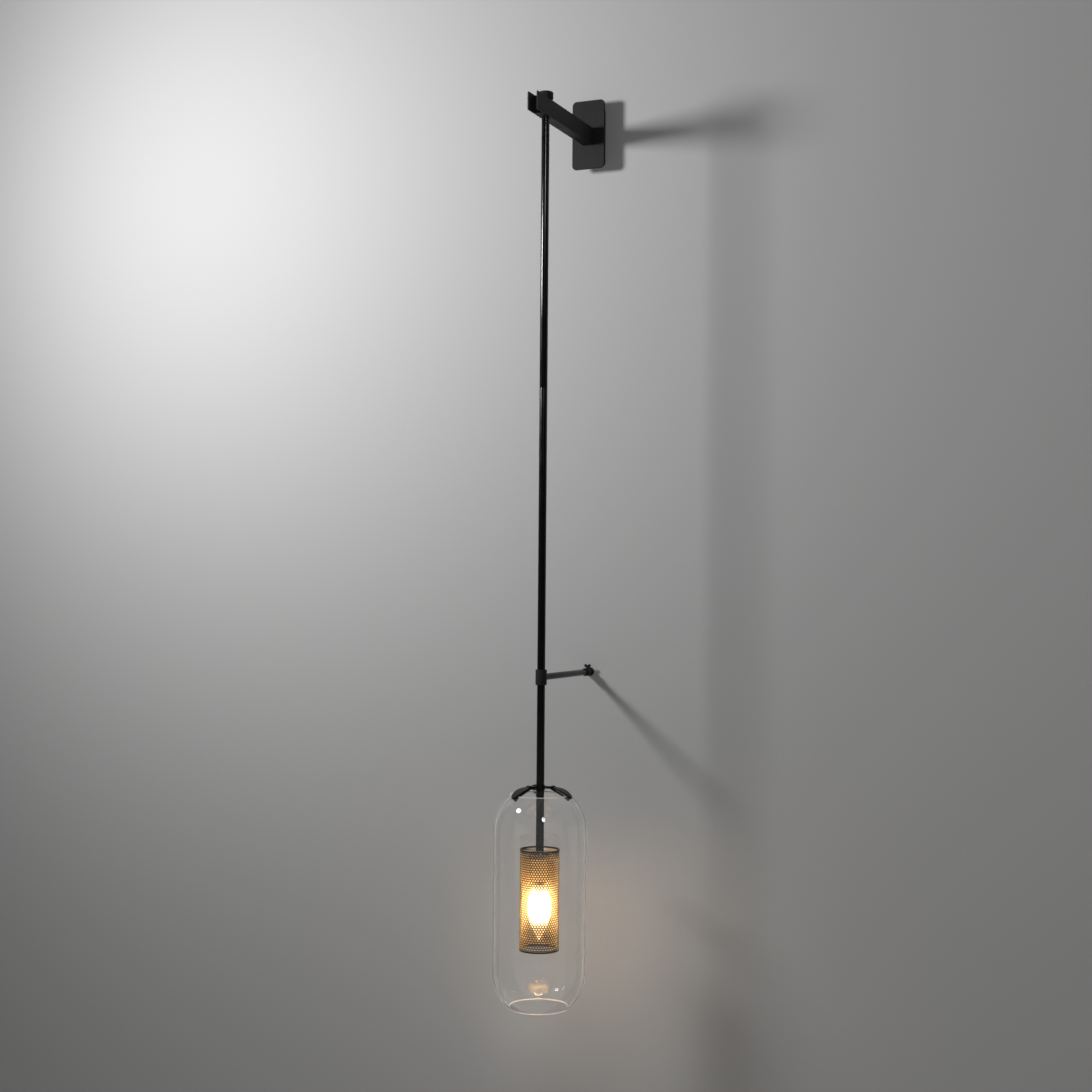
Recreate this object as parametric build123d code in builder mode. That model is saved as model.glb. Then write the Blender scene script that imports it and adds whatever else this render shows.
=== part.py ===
"""Wall light with a long hanging rod: arm, rod, wall stay, clear glass shade and pierced brass tube.

Frame: X to the right, Y into the wall, Z up. The wall is the plane Y = 0 and the origin is the
centre of the wall fixing, on that plane. Everything hangs on the room side, at negative Y.
Sizes are in millimetres. "Out" below is a distance from the wall, towards the room.
"""
import os
from math import cos, radians, sin, sqrt

from build123d import *

os.makedirs("parts", exist_ok=True)

# ---- fits ---------------------------------------------------------------------------------------
SNUG = 0.03          # radial gap of a screwed, pressed or bonded fit
RUN = 0.05           # radial gap of a turning fit
MOVE = 0.3           # gap between faces that pass each other
EDGE = 0.4           # small broken edge on turned and sawn pieces

# ---- wall fixing --------------------------------------------------------------------------------
PLATE_W, PLATE_H, PLATE_T = 55.0, 110.0, 4.0
PLATE_CORNER = 7.0
TRAY_W, TRAY_H, TRAY_DEPTH = 40.0, 92.0, 21.0    # shallow tray that spaces the plate off the wall
TRAY_WALL = 1.5
TRAY_CORNER = 4.0
STRAP_W, STRAP_T = 26.0, 2.0                     # steel strap screwed to the wall inside the tray
STRAP_GAP = 2.5                                  # from its ends to the tray's walls
STRAP_H = TRAY_H - 2 * (TRAY_WALL + STRAP_GAP)
EAR_T, EAR_OUT = 2.0, 12.0                       # ears on its ends, for the tray screws
WALL_HOLE_PITCH = 60.0
WALL_SLOT_W, WALL_SLOT_L = 5.0, 12.0
WIRE_HOLE_R = 5.0
WIRE_HOLE_Z = 14.0
TRAY_SCREW_R, TRAY_SCREW_HEAD_R, TRAY_SCREW_HEAD_T = 2.0, 3.5, 2.2
TRAY_SCREW_OUT = 7.0
TRAY_SCREW_END = 3.0                             # what shows of the screw inside the ear
BLOCK_W, BLOCK_H, BLOCK_DEPTH = 26.0, 12.0, 11.0  # terminal block
BLOCK_Z = -17.0
BLOCK_POLES, BLOCK_POLE_PITCH = 3, 8.0
BLOCK_WIRE_R, BLOCK_SCREW_R = 1.6, 1.5

# ---- arm ----------------------------------------------------------------------------------------
ARM_W, ARM_H = 17.0, 27.0
ARM_TOP = 10.0
ARM_WALL = 2.35
ARM_REACH = 243.0                                # wall to the tips of the fork
FORK_DEPTH = 22.0                                # open slot at the free end
END_BLOCK_L, NOSE_BLOCK_L = 15.0, 18.0
ARM_SCREW_R, ARM_SCREW_HEAD_R, ARM_SCREW_HEAD_T = 2.0, 3.8, 2.6
ARM_SCREW_PITCH = 14.0
ARM_SCREW_GRIP = 11.0                            # length of screw inside the end block
ARM_WIRE_R = 2.6

# ---- rod ----------------------------------------------------------------------------------------
ROD_SETBACK = 48.0                               # rod axis behind the tips of the fork
ROD_OUT = ARM_REACH - ROD_SETBACK                # rod axis to wall
ROD_R, ROD_BORE_R = 6.0, 4.5
ROD_JOINT_Z = -426.0                             # where the two lengths of rod meet
ROD_END_Z = -1118.0
JOINER_L, JOINER_BORE_R = 36.0, 3.2
ROD_WIRE_R = 3.0
CAP_R, CAP_H, CAP_ROOF = 11.5, 10.0, 3.0
WASHER_R, WASHER_T = 10.0, 1.0
CAP_GAP = 0.1

# ---- stay ---------------------------------------------------------------------------------------
STAY_Z = -860.0
STAY_R = 5.0
COLLAR_R, COLLAR_H = 8.5, 23.0
COLLAR_SCREW_R = 2.0
FOOT_R, FOOT_T = 7.0, 7.0
SOCKET_R, SOCKET_OUT = 6.25, 23.0
SOCKET_FLOOR = 4.0
FOOT_HOLE_R = 2.25
THUMB_OUT = 11.0
THUMB_R, THUMB_BOSS_R, THUMB_BOSS_TOP = 1.7, 3.2, 6.9
THUMB_COLLAR_R, THUMB_COLLAR_T = 2.5, 1.0
WING_R, WING_T, WING_SPREAD = 2.3, 1.6, 3.2

# ---- glass shade --------------------------------------------------------------------------------
GLASS_R, GLASS_T = 70.0, 2.5
GLASS_RIM_Z = -1032.764                          # where the upper half ball is cut open
GLASS_STRAIGHT = 209.0                           # straight wall between the half balls
MOUTH_R = 43.0                                   # open holes at top and bottom
GLASS_TOP_CENTRE_Z = GLASS_RIM_Z - sqrt(GLASS_R**2 - MOUTH_R**2)

# ---- claw holder --------------------------------------------------------------------------------
CLAWS = 3
CLAW_FIRST = 0.0                                 # direction of the first claw, from +X towards +Y
HUB_R, HUB_H, HUB_Z = 7.2, 7.0, -1024.0
HUB_SCREW_R = 1.5
BAR_W, BAR_T = 5.0, 3.4
TONGUE_W = 3.0
PIVOT_R, PIVOT_Z = 20.5, -1023.5                 # hinge of a leaf: distance from the rod axis, height
EYE_R = 3.1
PIN_R, PIN_HEAD_R, PIN_HEAD_T = 1.25, 2.1, 0.8
EAR_W = 1.8
FINGER_R, SLEEVE_R = 1.5, 2.1
FINGER_ANGLE = 41.0                              # where a finger bears, down from the top of the half ball
FINGER_ROOT_R, FINGER_ROOT_Z = 19.0, -1025.8
FINGER_IN, FINGER_PAST = 5.5, 3.4                # straight length before and after the bearing point
FINGER_BEND = 16.0
SLEEVE_L = 7.4
LEAF_T, LEAF_W = 2.4, 18.0
LEAF_TIP_ANGLE = 45.5                            # where the tip lies, down from the top of the half ball
LEAF_RISE = 4.2                                  # middle of the leaf above the rim of the glass
LEAF_MID_R = 38.5
LEAF_WIDEST_R = 38.0
LEAF_SHOULDER_W = 14.6                           # width where the rounded tip begins
LEAF_TIP_L = 6.6

# ---- pierced tube -------------------------------------------------------------------------------
TUBE_R, TUBE_T = 29.4, 0.8
TUBE_TOP_Z, TUBE_L = -1115.6, 150.0
RING_H, RING_T, RING_LIP = 2.4, 0.5, 0.6         # folded rim over each end of the tube
BRIDGE_W, BRIDGE_T, BRIDGE_TAB = 14.0, 1.5, 7.0

# ---- lampholder ---------------------------------------------------------------------------------
NIPPLE_UP, NIPPLE_DOWN, NIPPLE_BORE_R = 14.0, 7.5, 3.0
CUP_R, CUP_H, CUP_T = 16.0, 10.0, 1.0
NUT_AF, NUT_T = 14.0, 4.0
HOLDER_R, HOLDER_L = 14.0, 38.0
HOLDER_FLANGE_T, HOLDER_RECESS = 3.4, 3.0
HOLDER_WIRE_R = 1.2
SOCKET_MOUTH_R, SOCKET_DEPTH = 8.2, 27.0
SHELL_BORE_R, SHELL_L = 7.2, 23.0
CONTACT_W, CONTACT_T, CONTACT_L = 5.0, 0.8, 6.0
CONTACT_DROP = 7.6                               # socket ceiling to the bulb's button

# ---- bulb ---------------------------------------------------------------------------------------
BULB_R, BULB_L = 17.5, 107.0
BULB_WIDEST = 57.0                               # from the button down
BULB_CAP_R, BULB_CAP_L = 6.95, 21.0
BULB_SKIRT_R, BULB_SKIRT_L, BULB_FLARE_L = 9.0, 4.5, 1.5
BULB_BUTTON_R, BULB_BUTTON_L = 2.3, 1.5
BULB_GLASS_T = 0.8
BULB_NECK_R = 8.2
FILAMENTS, FILAMENT_R, FILAMENT_L, FILAMENT_RING_R = 4, 0.9, 34.0, 4.6
STEM_R, STEM_FOOT_R, STEM_PLATE_T = 1.2, 3.2, 1.0
STEM_L = 14.0                                    # stout lower part of the stem, from the neck

# ---- places worked out from the sizes -----------------------------------------------------------
plate_back = TRAY_DEPTH
plate_front = TRAY_DEPTH + PLATE_T
arm_mid = ARM_TOP - ARM_H / 2
arm_in_w, arm_in_h = ARM_W - 2 * ARM_WALL, ARM_H - 2 * ARM_WALL
rod_axis = (0, -ROD_OUT)
cap_base = ARM_TOP + WASHER_T + CAP_GAP
rod_top = cap_base + CAP_H - CAP_ROOF - SNUG
glass_bottom_centre_z = GLASS_TOP_CENTRE_Z - GLASS_STRAIGHT
glass_in_r = GLASS_R - GLASS_T
bridge_z = ROD_END_Z
cup_top = bridge_z - BRIDGE_T
nut_top = cup_top - CUP_T
holder_top = nut_top - NUT_T
holder_bottom = holder_top - HOLDER_L
socket_top = holder_bottom + SOCKET_DEPTH
bulb_top = socket_top - CONTACT_DROP
bulb_tip = bulb_top - BULB_L
widest_z = bulb_top - BULB_WIDEST
skirt_top = bulb_top - BULB_CAP_L
flare_bottom = skirt_top - BULB_FLARE_L
neck_top = flare_bottom - SNUG
neck_bottom = skirt_top - BULB_SKIRT_L - MOVE


def at_rod(z):
    """Level plane whose origin is on the rod axis, at height z."""
    return Plane((0, -ROD_OUT, z))


def claw_plane(n):
    """Upright plane of claw n: local x runs out from the rod axis, local y is height."""
    turn = radians(CLAW_FIRST + 360 / CLAWS * n)
    return Plane((0, -ROD_OUT, 0), x_dir=(cos(turn), sin(turn), 0), z_dir=(sin(turn), -cos(turn), 0))


def claw_level(n, z):
    """Level plane at height z whose local x runs along claw n."""
    turn = radians(CLAW_FIRST + 360 / CLAWS * n)
    return Plane((0, -ROD_OUT, z), x_dir=(cos(turn), sin(turn), 0))


def on_ball(radius, angle):
    """Point on a circle about the upper half ball's centre, at an angle down from its top."""
    return (radius * sin(radians(angle)), GLASS_TOP_CENTRE_Z + radius * cos(radians(angle)))


# ==== wall fixing ================================================================================

# Steel strap: flat against the wall, two upright slots for the wall screws and a hole for the wires.
with BuildPart() as wall_bracket:
    with BuildSketch(Plane.XZ):
        RectangleRounded(STRAP_W, STRAP_H, 2)
        with GridLocations(0, WALL_HOLE_PITCH, 1, 2):
            SlotOverall(WALL_SLOT_L, WALL_SLOT_W, rotation=90, mode=Mode.SUBTRACT)
        with Locations((0, WIRE_HOLE_Z)):
            Circle(WIRE_HOLE_R, mode=Mode.SUBTRACT)
    extrude(amount=STRAP_T)
wall_bracket.part.label = "wall_bracket"
export_step(wall_bracket.part, "parts/wall_bracket.step")

# Two ears welded on its ends, tapped for the tray screws.
with BuildPart() as bracket_ears:
    with BuildSketch(Plane.XZ.offset(STRAP_T)):
        with GridLocations(0, STRAP_H - EAR_T, 1, 2):
            Rectangle(STRAP_W - 4, EAR_T)
    extrude(amount=EAR_OUT)
    with Locations(Plane.XY.offset(STRAP_H / 2)):
        with Locations((0, -TRAY_SCREW_OUT)):
            Hole(TRAY_SCREW_R + SNUG, depth=STRAP_H)
bracket_ears.part.label = "bracket_ears"
export_step(bracket_ears.part, "parts/bracket_ears.step")

# Shallow pressed tray, open to the wall, that hides the wiring and carries the plate.
with BuildPart() as canopy_tray:
    with BuildSketch(Plane.XZ):
        RectangleRounded(TRAY_W, TRAY_H, TRAY_CORNER)
    extrude(amount=TRAY_DEPTH)
    with BuildSketch(Plane.XZ):
        RectangleRounded(TRAY_W - 2 * TRAY_WALL, TRAY_H - 2 * TRAY_WALL, TRAY_CORNER - TRAY_WALL)
    extrude(amount=TRAY_DEPTH - TRAY_WALL, mode=Mode.SUBTRACT)
    with BuildSketch(Plane.XZ.offset(TRAY_DEPTH)):
        with Locations((0, arm_mid)):
            Circle(ARM_WIRE_R)
            with GridLocations(0, ARM_SCREW_PITCH, 1, 2):
                Circle(ARM_SCREW_R + SNUG)
    extrude(amount=-TRAY_WALL, mode=Mode.SUBTRACT)
    with Locations(Plane.XY.offset(TRAY_H / 2)):
        with Locations((0, -TRAY_SCREW_OUT)):
            Hole(TRAY_SCREW_R + SNUG, depth=TRAY_H)
canopy_tray.part.label = "canopy_tray"
export_step(canopy_tray.part, "parts/canopy_tray.step")

# Flat rounded plate that stands off the wall on the tray.
with BuildPart() as wall_plate:
    with BuildSketch(Plane.XZ.offset(plate_back)):
        RectangleRounded(PLATE_W, PLATE_H, PLATE_CORNER)
        with Locations((0, arm_mid)):
            Circle(ARM_WIRE_R, mode=Mode.SUBTRACT)
            with GridLocations(0, ARM_SCREW_PITCH, 1, 2):
                Circle(ARM_SCREW_R + SNUG, mode=Mode.SUBTRACT)
    extrude(amount=PLATE_T)
    chamfer(wall_plate.faces().sort_by(Axis.Y)[0].outer_wire().edges(), EDGE)
wall_plate.part.label = "wall_plate"
export_step(wall_plate.part, "parts/wall_plate.step")

# Two screws, above and below, that hold the tray to the ears.
with BuildPart() as tray_screws:
    for side in (1, -1):
        seat = Plane((0, -TRAY_SCREW_OUT, side * TRAY_H / 2), z_dir=(0, 0, side))
        with BuildSketch(seat):
            Circle(TRAY_SCREW_HEAD_R)
        extrude(amount=TRAY_SCREW_HEAD_T)
        with BuildSketch(seat):
            Circle(TRAY_SCREW_R)
        extrude(amount=-((TRAY_H - STRAP_H) / 2 + EAR_T + TRAY_SCREW_END))
        with BuildSketch(seat.offset(TRAY_SCREW_HEAD_T)):
            Rectangle(2 * TRAY_SCREW_HEAD_R, 1)
        extrude(amount=-1, mode=Mode.SUBTRACT)
tray_screws.part.label = "tray_screws"
export_step(tray_screws.part, "parts/tray_screws.step")

# Terminal block on the strap: one wire hole through and two screw wells for each pole.
with BuildPart() as terminal_block:
    with BuildSketch(Plane.XZ.offset(STRAP_T)):
        with Locations((0, BLOCK_Z)):
            RectangleRounded(BLOCK_W, BLOCK_H, 1)
    extrude(amount=BLOCK_DEPTH)
    with BuildSketch(Plane.XY.offset(BLOCK_Z)):
        with Locations((0, -STRAP_T - BLOCK_DEPTH / 2)):
            with GridLocations(BLOCK_POLE_PITCH, 0, BLOCK_POLES, 1):
                Circle(BLOCK_WIRE_R)
    extrude(amount=BLOCK_H, both=True, mode=Mode.SUBTRACT)
    with BuildSketch(Plane.XZ.offset(STRAP_T + BLOCK_DEPTH)):
        with Locations((0, BLOCK_Z)):
            with GridLocations(BLOCK_POLE_PITCH, BLOCK_H / 2, BLOCK_POLES, 2):
                Circle(BLOCK_SCREW_R + SNUG)
    extrude(amount=-BLOCK_DEPTH / 2, mode=Mode.SUBTRACT)
terminal_block.part.label = "terminal_block"
export_step(terminal_block.part, "parts/terminal_block.step")

# The slotted brass screws that sit in those wells.
with BuildPart() as terminal_screws:
    with BuildSketch(Plane.XZ.offset(STRAP_T + BLOCK_DEPTH - 1)):
        with Locations((0, BLOCK_Z)):
            with GridLocations(BLOCK_POLE_PITCH, BLOCK_H / 2, BLOCK_POLES, 2):
                Circle(BLOCK_SCREW_R)
    extrude(amount=-(BLOCK_DEPTH / 2 - BLOCK_WIRE_R - 1))
terminal_screws.part.label = "terminal_screws"
export_step(terminal_screws.part, "parts/terminal_screws.step")

# ==== arm ========================================================================================

# Rectangular steel tube. Top and bottom walls are cut back at the free end, which leaves a fork.
with BuildPart() as arm_tube:
    with BuildSketch(Plane.XZ.offset(plate_front)):
        with Locations((0, arm_mid)):
            RectangleRounded(ARM_W, ARM_H, EDGE)
            Rectangle(arm_in_w, arm_in_h, mode=Mode.SUBTRACT)
    extrude(amount=ARM_REACH - plate_front)
    with BuildSketch(Plane.XY.offset(arm_mid)):
        with Locations((0, -ARM_REACH + FORK_DEPTH / 2)):
            Rectangle(arm_in_w, FORK_DEPTH)
        with Locations(rod_axis):
            Circle(ROD_R + RUN)
    extrude(amount=ARM_H, both=True, mode=Mode.SUBTRACT)
arm_tube.part.label = "arm_tube"
export_step(arm_tube.part, "parts/arm_tube.step")

# Steel block welded in the wall end of the arm, tapped for the two screws through the plate.
with BuildPart() as arm_end_block:
    with BuildSketch(Plane.XZ.offset(plate_front)):
        with Locations((0, arm_mid)):
            Rectangle(arm_in_w - 2 * SNUG, arm_in_h - 2 * SNUG)
            Circle(ARM_WIRE_R, mode=Mode.SUBTRACT)
            with GridLocations(0, ARM_SCREW_PITCH, 1, 2):
                Circle(ARM_SCREW_R + SNUG, mode=Mode.SUBTRACT)
    extrude(amount=END_BLOCK_L)
arm_end_block.part.label = "arm_end_block"
export_step(arm_end_block.part, "parts/arm_end_block.step")

# Block that closes the arm behind the fork.
with BuildPart() as arm_nose_block:
    with BuildSketch(Plane.XZ.offset(ARM_REACH - FORK_DEPTH)):
        with Locations((0, arm_mid)):
            Rectangle(arm_in_w - 2 * SNUG, arm_in_h - 2 * SNUG)
    extrude(amount=-NOSE_BLOCK_L)
arm_nose_block.part.label = "arm_nose_block"
export_step(arm_nose_block.part, "parts/arm_nose_block.step")

# Screws from inside the tray, through tray and plate, into the end block.
with BuildPart() as arm_screws:
    with BuildSketch(Plane.XZ.offset(TRAY_DEPTH - TRAY_WALL)):
        with Locations((0, arm_mid)):
            with GridLocations(0, ARM_SCREW_PITCH, 1, 2):
                Circle(ARM_SCREW_HEAD_R)
                Rectangle(2 * ARM_SCREW_HEAD_R, 1, mode=Mode.SUBTRACT)
    extrude(amount=-ARM_SCREW_HEAD_T)
    with BuildSketch(Plane.XZ.offset(TRAY_DEPTH - TRAY_WALL - ARM_SCREW_HEAD_T / 2)):
        with Locations((0, arm_mid)):
            with GridLocations(0, ARM_SCREW_PITCH, 1, 2):
                Circle(ARM_SCREW_R)
    extrude(amount=ARM_SCREW_HEAD_T / 2 + TRAY_WALL + PLATE_T + ARM_SCREW_GRIP)
arm_screws.part.label = "arm_screws"
export_step(arm_screws.part, "parts/arm_screws.step")

# Nylon washer that the rod's cap turns on.
with BuildPart() as rod_washer:
    with BuildSketch(at_rod(ARM_TOP)):
        Circle(WASHER_R)
        Circle(ROD_R + RUN, mode=Mode.SUBTRACT)
    extrude(amount=WASHER_T)
rod_washer.part.label = "rod_washer"
export_step(rod_washer.part, "parts/rod_washer.step")

# ==== rod ========================================================================================

# Round cap screwed on the rod's upper end. The whole pendant hangs from it.
with BuildPart() as rod_cap:
    with BuildSketch(at_rod(cap_base)):
        Circle(CAP_R)
    extrude(amount=CAP_H)
    with BuildSketch(at_rod(cap_base)):
        Circle(ROD_R + SNUG)
    extrude(amount=CAP_H - CAP_ROOF, mode=Mode.SUBTRACT)
    chamfer(rod_cap.faces().sort_by(Axis.Z)[-1].edges(), 2 * EDGE)
rod_cap.part.label = "rod_cap"
export_step(rod_cap.part, "parts/rod_cap.step")

# Upper length of rod, with a hole in its back where the wires come in from the arm.
with BuildPart() as rod_upper:
    with BuildSketch(at_rod(ROD_JOINT_Z)):
        Circle(ROD_R)
        Circle(ROD_BORE_R, mode=Mode.SUBTRACT)
    extrude(amount=rod_top - ROD_JOINT_Z)
    with BuildSketch(Plane.XZ.offset(ROD_OUT)):
        with Locations((0, arm_mid)):
            Circle(ROD_WIRE_R)
    extrude(amount=-2 * ROD_R, mode=Mode.SUBTRACT)
    chamfer(rod_upper.faces().sort_by(Axis.Z)[0].outer_wire().edges(), EDGE)
rod_upper.part.label = "rod_upper"
export_step(rod_upper.part, "parts/rod_upper.step")

# Lower length of rod, down to the lampholder.
with BuildPart() as rod_lower:
    with BuildSketch(at_rod(ROD_JOINT_Z)):
        Circle(ROD_R)
        Circle(ROD_BORE_R, mode=Mode.SUBTRACT)
    extrude(amount=ROD_END_Z - ROD_JOINT_Z)
    chamfer(rod_lower.faces().sort_by(Axis.Z)[-1].outer_wire().edges(), EDGE)
rod_lower.part.label = "rod_lower"
export_step(rod_lower.part, "parts/rod_lower.step")

# Hollow stud that joins the two lengths.
with BuildPart() as rod_joiner:
    with BuildSketch(at_rod(ROD_JOINT_Z)):
        Circle(ROD_BORE_R - SNUG)
        Circle(JOINER_BORE_R, mode=Mode.SUBTRACT)
    extrude(amount=JOINER_L / 2, both=True)
rod_joiner.part.label = "rod_joiner"
export_step(rod_joiner.part, "parts/rod_joiner.step")

# ==== stay =======================================================================================

# Ring that the rod passes through, with a tapped hole for its locking screw.
with BuildPart() as stay_collar:
    with BuildSketch(at_rod(STAY_Z - COLLAR_H / 2)):
        Circle(COLLAR_R)
        Circle(ROD_R + RUN, mode=Mode.SUBTRACT)
    extrude(amount=COLLAR_H)
    with BuildSketch(Plane.YZ):
        with Locations((-ROD_OUT, STAY_Z)):
            Circle(COLLAR_SCREW_R + SNUG)
    extrude(amount=-COLLAR_R, mode=Mode.SUBTRACT)
    for end in (0, -1):
        chamfer(stay_collar.faces().sort_by(Axis.Z)[end].outer_wire().edges(), EDGE)
stay_collar.part.label = "stay_collar"
export_step(stay_collar.part, "parts/stay_collar.step")

# Headless screw in the collar's left side. It is backed off, so the rod can turn.
with BuildPart() as collar_screw:
    with BuildSketch(Plane.YZ.offset(-ROD_R - MOVE)):
        with Locations((-ROD_OUT, STAY_Z)):
            Circle(COLLAR_SCREW_R)
    extrude(amount=-(COLLAR_R - ROD_R - 2 * MOVE))
collar_screw.part.label = "collar_screw"
export_step(collar_screw.part, "parts/collar_screw.step")

# Round bar from the wall foot to the collar, its end shaped to the collar.
with BuildPart() as stay_rod:
    with BuildSketch(Plane.XZ.offset(SOCKET_FLOOR + SNUG)):
        with Locations((0, STAY_Z)):
            Circle(STAY_R)
    extrude(amount=ROD_OUT - SOCKET_FLOOR - ROD_R)
    with BuildSketch(at_rod(STAY_Z)):
        Circle(COLLAR_R + SNUG)
    extrude(amount=COLLAR_H, both=True, mode=Mode.SUBTRACT)
stay_rod.part.label = "stay_rod"
export_step(stay_rod.part, "parts/stay_rod.step")

# Turned foot: flange on the wall, socket for the bar, small boss for the thumb screw.
with BuildPart() as stay_foot:
    with BuildSketch(Plane.XZ):
        with Locations((0, STAY_Z)):
            Circle(FOOT_R)
    extrude(amount=FOOT_T)
    with BuildSketch(Plane.XZ):
        with Locations((0, STAY_Z)):
            Circle(SOCKET_R)
    extrude(amount=SOCKET_OUT)
    with BuildSketch(Plane((0, -THUMB_OUT, STAY_Z))):
        Circle(THUMB_BOSS_R)
    extrude(amount=THUMB_BOSS_TOP)
    with BuildSketch(Plane.XZ.offset(SOCKET_FLOOR)):
        with Locations((0, STAY_Z)):
            Circle(STAY_R + SNUG)
    extrude(amount=SOCKET_OUT, mode=Mode.SUBTRACT)
    with BuildSketch(Plane.XZ):
        with Locations((0, STAY_Z)):
            Circle(FOOT_HOLE_R)
    extrude(amount=SOCKET_FLOOR, mode=Mode.SUBTRACT)
    with BuildSketch(Plane((0, -THUMB_OUT, STAY_Z))):
        Circle(THUMB_R + RUN)
    extrude(amount=THUMB_BOSS_TOP, mode=Mode.SUBTRACT)
stay_foot.part.label = "stay_foot"
export_step(stay_foot.part, "parts/stay_foot.step")

# Thumb screw with two round ears, standing on the boss.
thumb_seat = STAY_Z + THUMB_BOSS_TOP + MOVE
with BuildPart() as thumb_screw:
    with BuildSketch(Plane((0, -THUMB_OUT, STAY_Z + STAY_R + MOVE))):
        Circle(THUMB_R)
    extrude(amount=THUMB_BOSS_TOP - STAY_R + THUMB_COLLAR_T)
    with BuildSketch(Plane((0, -THUMB_OUT, thumb_seat))):
        Circle(THUMB_COLLAR_R)
    extrude(amount=THUMB_COLLAR_T)
    with BuildSketch(Plane.XZ.offset(THUMB_OUT)):
        with Locations((0, thumb_seat + THUMB_COLLAR_T / 2 + WING_R)):
            with GridLocations(2 * WING_SPREAD, 0, 2, 1):
                Circle(WING_R)
        with Locations((0, thumb_seat + THUMB_COLLAR_T)):
            Rectangle(2 * WING_SPREAD, WING_R, align=(Align.CENTER, Align.MIN))
    extrude(amount=WING_T / 2, both=True)
thumb_screw.part.label = "thumb_screw"
export_step(thumb_screw.part, "parts/thumb_screw.step")

# ==== glass shade ================================================================================

# Blown glass capsule, both ends cut open and their rims melted round.
with BuildPart() as glass_shade:
    with BuildSketch(Plane.XZ.offset(ROD_OUT)):
        with Locations((0, (GLASS_TOP_CENTRE_Z + glass_bottom_centre_z) / 2)):
            SlotOverall(GLASS_STRAIGHT + 2 * GLASS_R, 2 * GLASS_R, rotation=90)
            SlotOverall(GLASS_STRAIGHT + 2 * glass_in_r, 2 * glass_in_r, rotation=90,
                        mode=Mode.SUBTRACT)
            Rectangle(2 * GLASS_R, GLASS_STRAIGHT + 2 * GLASS_R,
                      align=(Align.MAX, Align.CENTER), mode=Mode.SUBTRACT)
            Rectangle(MOUTH_R, GLASS_STRAIGHT + 2 * GLASS_R,
                      align=(Align.MIN, Align.CENTER), mode=Mode.SUBTRACT)
        fillet(vertices().group_by(Axis.X)[0], GLASS_T * 0.45)
    revolve(axis=Axis((0, -ROD_OUT, 0), (0, 0, 1)))
glass_shade.part.label = "glass_shade"
export_step(glass_shade.part, "parts/glass_shade.step")

# ==== claw holder ================================================================================

finger_bearing_r = glass_in_r - SLEEVE_R - 1.5 * MOVE   # the ball is nearer to a straight sleeve's ends
finger_mid = Vector(*on_ball(finger_bearing_r, FINGER_ANGLE))
finger_along = Vector(cos(radians(FINGER_ANGLE)), -sin(radians(FINGER_ANGLE)))
finger_bend_at = finger_mid - finger_along * FINGER_IN
finger_tip = finger_mid + finger_along * FINGER_PAST

# Hub on the rod with three bars. Each ends in a tongue for a leaf and a finger under the glass rim.
with BuildPart() as claw_spider:
    with BuildSketch(at_rod(HUB_Z - HUB_H / 2)):
        Circle(HUB_R)
    extrude(amount=HUB_H)
    for n in range(CLAWS):
        with BuildSketch(claw_plane(n)):
            with Locations((PIVOT_R - EYE_R - 1, PIVOT_Z)):
                Rectangle(PIVOT_R - EYE_R - 1, BAR_T, align=(Align.MAX, Align.CENTER))
        extrude(amount=BAR_W / 2, both=True)
        with BuildSketch(claw_plane(n)):
            with Locations((PIVOT_R, PIVOT_Z)):
                Circle(EYE_R)
                Rectangle(PIVOT_R, BAR_T, align=(Align.MAX, Align.CENTER))
        extrude(amount=TONGUE_W / 2, both=True)
        with BuildLine(claw_plane(n)) as finger_line:
            FilletPolyline((FINGER_ROOT_R, FINGER_ROOT_Z), (finger_bend_at.X, finger_bend_at.Y),
                           (finger_tip.X, finger_tip.Y), radius=FINGER_BEND)
        with BuildSketch(Plane(finger_line.line @ 0, z_dir=finger_line.line % 0)):
            Circle(FINGER_R)
        sweep(path=finger_line.line)
        with BuildSketch(claw_plane(n)):
            with Locations((PIVOT_R, PIVOT_Z)):
                Circle(PIN_R + SNUG)
        extrude(amount=BAR_W, both=True, mode=Mode.SUBTRACT)
    with BuildSketch(at_rod(HUB_Z)):
        Circle(ROD_R + SNUG)
    extrude(amount=HUB_H, both=True, mode=Mode.SUBTRACT)
claw_spider.part.label = "claw_spider"
export_step(claw_spider.part, "parts/claw_spider.step")

# Silicone sleeves on the finger ends, which the glass rests on.
with BuildPart() as finger_sleeves:
    for n in range(CLAWS):
        sleeve_start = finger_tip - finger_along * (SLEEVE_L - 1)
        spot = claw_plane(n).from_local_coords((sleeve_start.X, sleeve_start.Y, 0))
        aim = claw_plane(n).from_local_coords((finger_along.X, finger_along.Y, 0)) - Vector(0, -ROD_OUT, 0)
        with BuildSketch(Plane(spot, z_dir=aim)):
            Circle(SLEEVE_R)
        extrude(amount=SLEEVE_L)
        with BuildSketch(Plane(spot, z_dir=aim)):
            Circle(FINGER_R + SNUG)
        extrude(amount=SLEEVE_L - 1 + SNUG, mode=Mode.SUBTRACT)
    chamfer(finger_sleeves.edges().filter_by(GeomType.CIRCLE).group_by(Axis.Z)[0], EDGE)
finger_sleeves.part.label = "finger_sleeves"
export_step(finger_sleeves.part, "parts/finger_sleeves.step")

# Hinge pins of the leaves, headed at both ends.
ear_outside = TONGUE_W / 2 + MOVE + EAR_W
pin_half = ear_outside + MOVE / 2
with BuildPart() as claw_pins:
    for n in range(CLAWS):
        with BuildSketch(claw_plane(n)):
            with Locations((PIVOT_R, PIVOT_Z)):
                Circle(PIN_R)
        extrude(amount=pin_half, both=True)
        for side in (1, -1):
            with BuildSketch(claw_plane(n).offset(side * pin_half)):
                with Locations((PIVOT_R, PIVOT_Z)):
                    Circle(PIN_HEAD_R)
            extrude(amount=side * PIN_HEAD_T)
claw_pins.part.label = "claw_pins"
export_step(claw_pins.part, "parts/claw_pins.step")

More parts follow.
